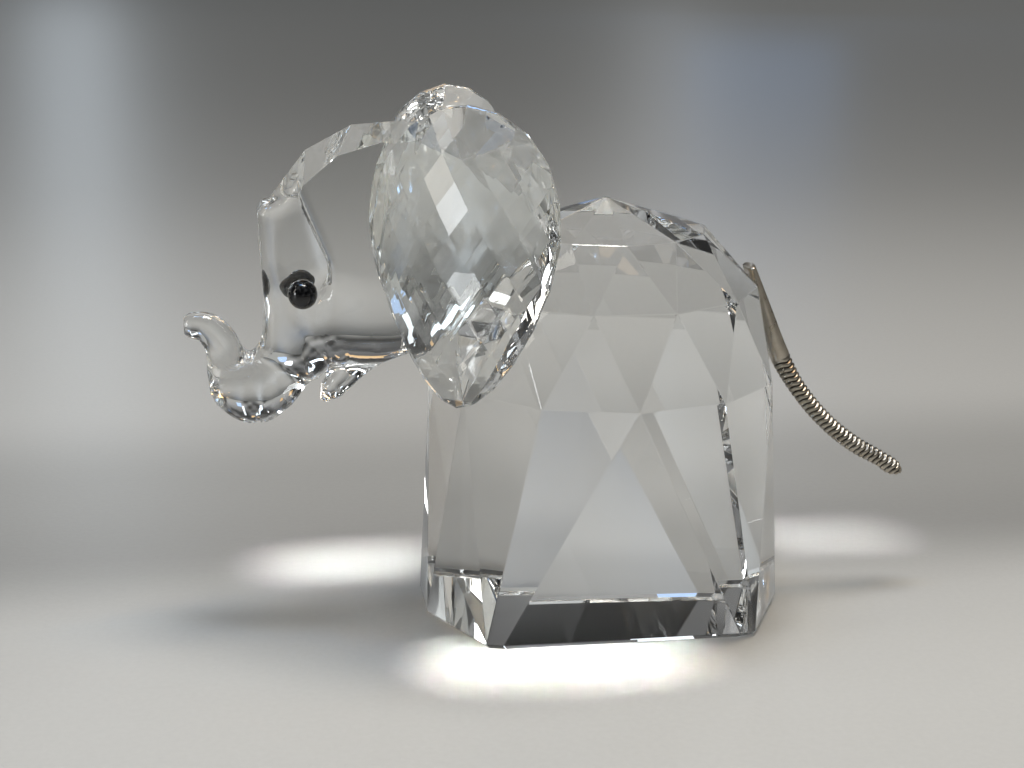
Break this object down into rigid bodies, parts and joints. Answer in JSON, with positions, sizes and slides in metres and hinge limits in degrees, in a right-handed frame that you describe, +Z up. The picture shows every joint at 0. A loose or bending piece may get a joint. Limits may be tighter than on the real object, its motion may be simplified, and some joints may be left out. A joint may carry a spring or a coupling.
{
  "type": "crystal elephant figurine",
  "caption": "Faceted crystal glass elephant figurine with drawn-glass trunk, black eyes, flared drop-cut ears and a ribbed metal tail.",
  "frame": {"origin": "centre of the flat base of the body block, on the surface it stands on", "axes": "+Z up, -X the way the elephant faces (+X towards the tail), +Y its right-hand side"},
  "size_m": [0.1268, 0.06, 0.0891],
  "materials": {
    "crystal": "polished, clear and colourless",
    "black_glass": "polished, opaque black",
    "silver_metal": "silver-coloured cast metal, polished ribs with darkened grooves",
    "clear_adhesive": "cured, water clear"
  },
  "bodies": {
    "root": {"body_block": "crystal", "head": "crystal", "ear_left": "crystal", "ear_right": "crystal", "eye_left": "black_glass", "eye_right": "black_glass", "tail": "silver_metal", "neck_adhesive": "clear_adhesive", "ear_left_adhesive": "clear_adhesive", "ear_right_adhesive": "clear_adhesive", "eye_left_adhesive": "clear_adhesive", "eye_right_adhesive": "clear_adhesive", "tail_adhesive": "clear_adhesive"}
  },
  "joints": []
}
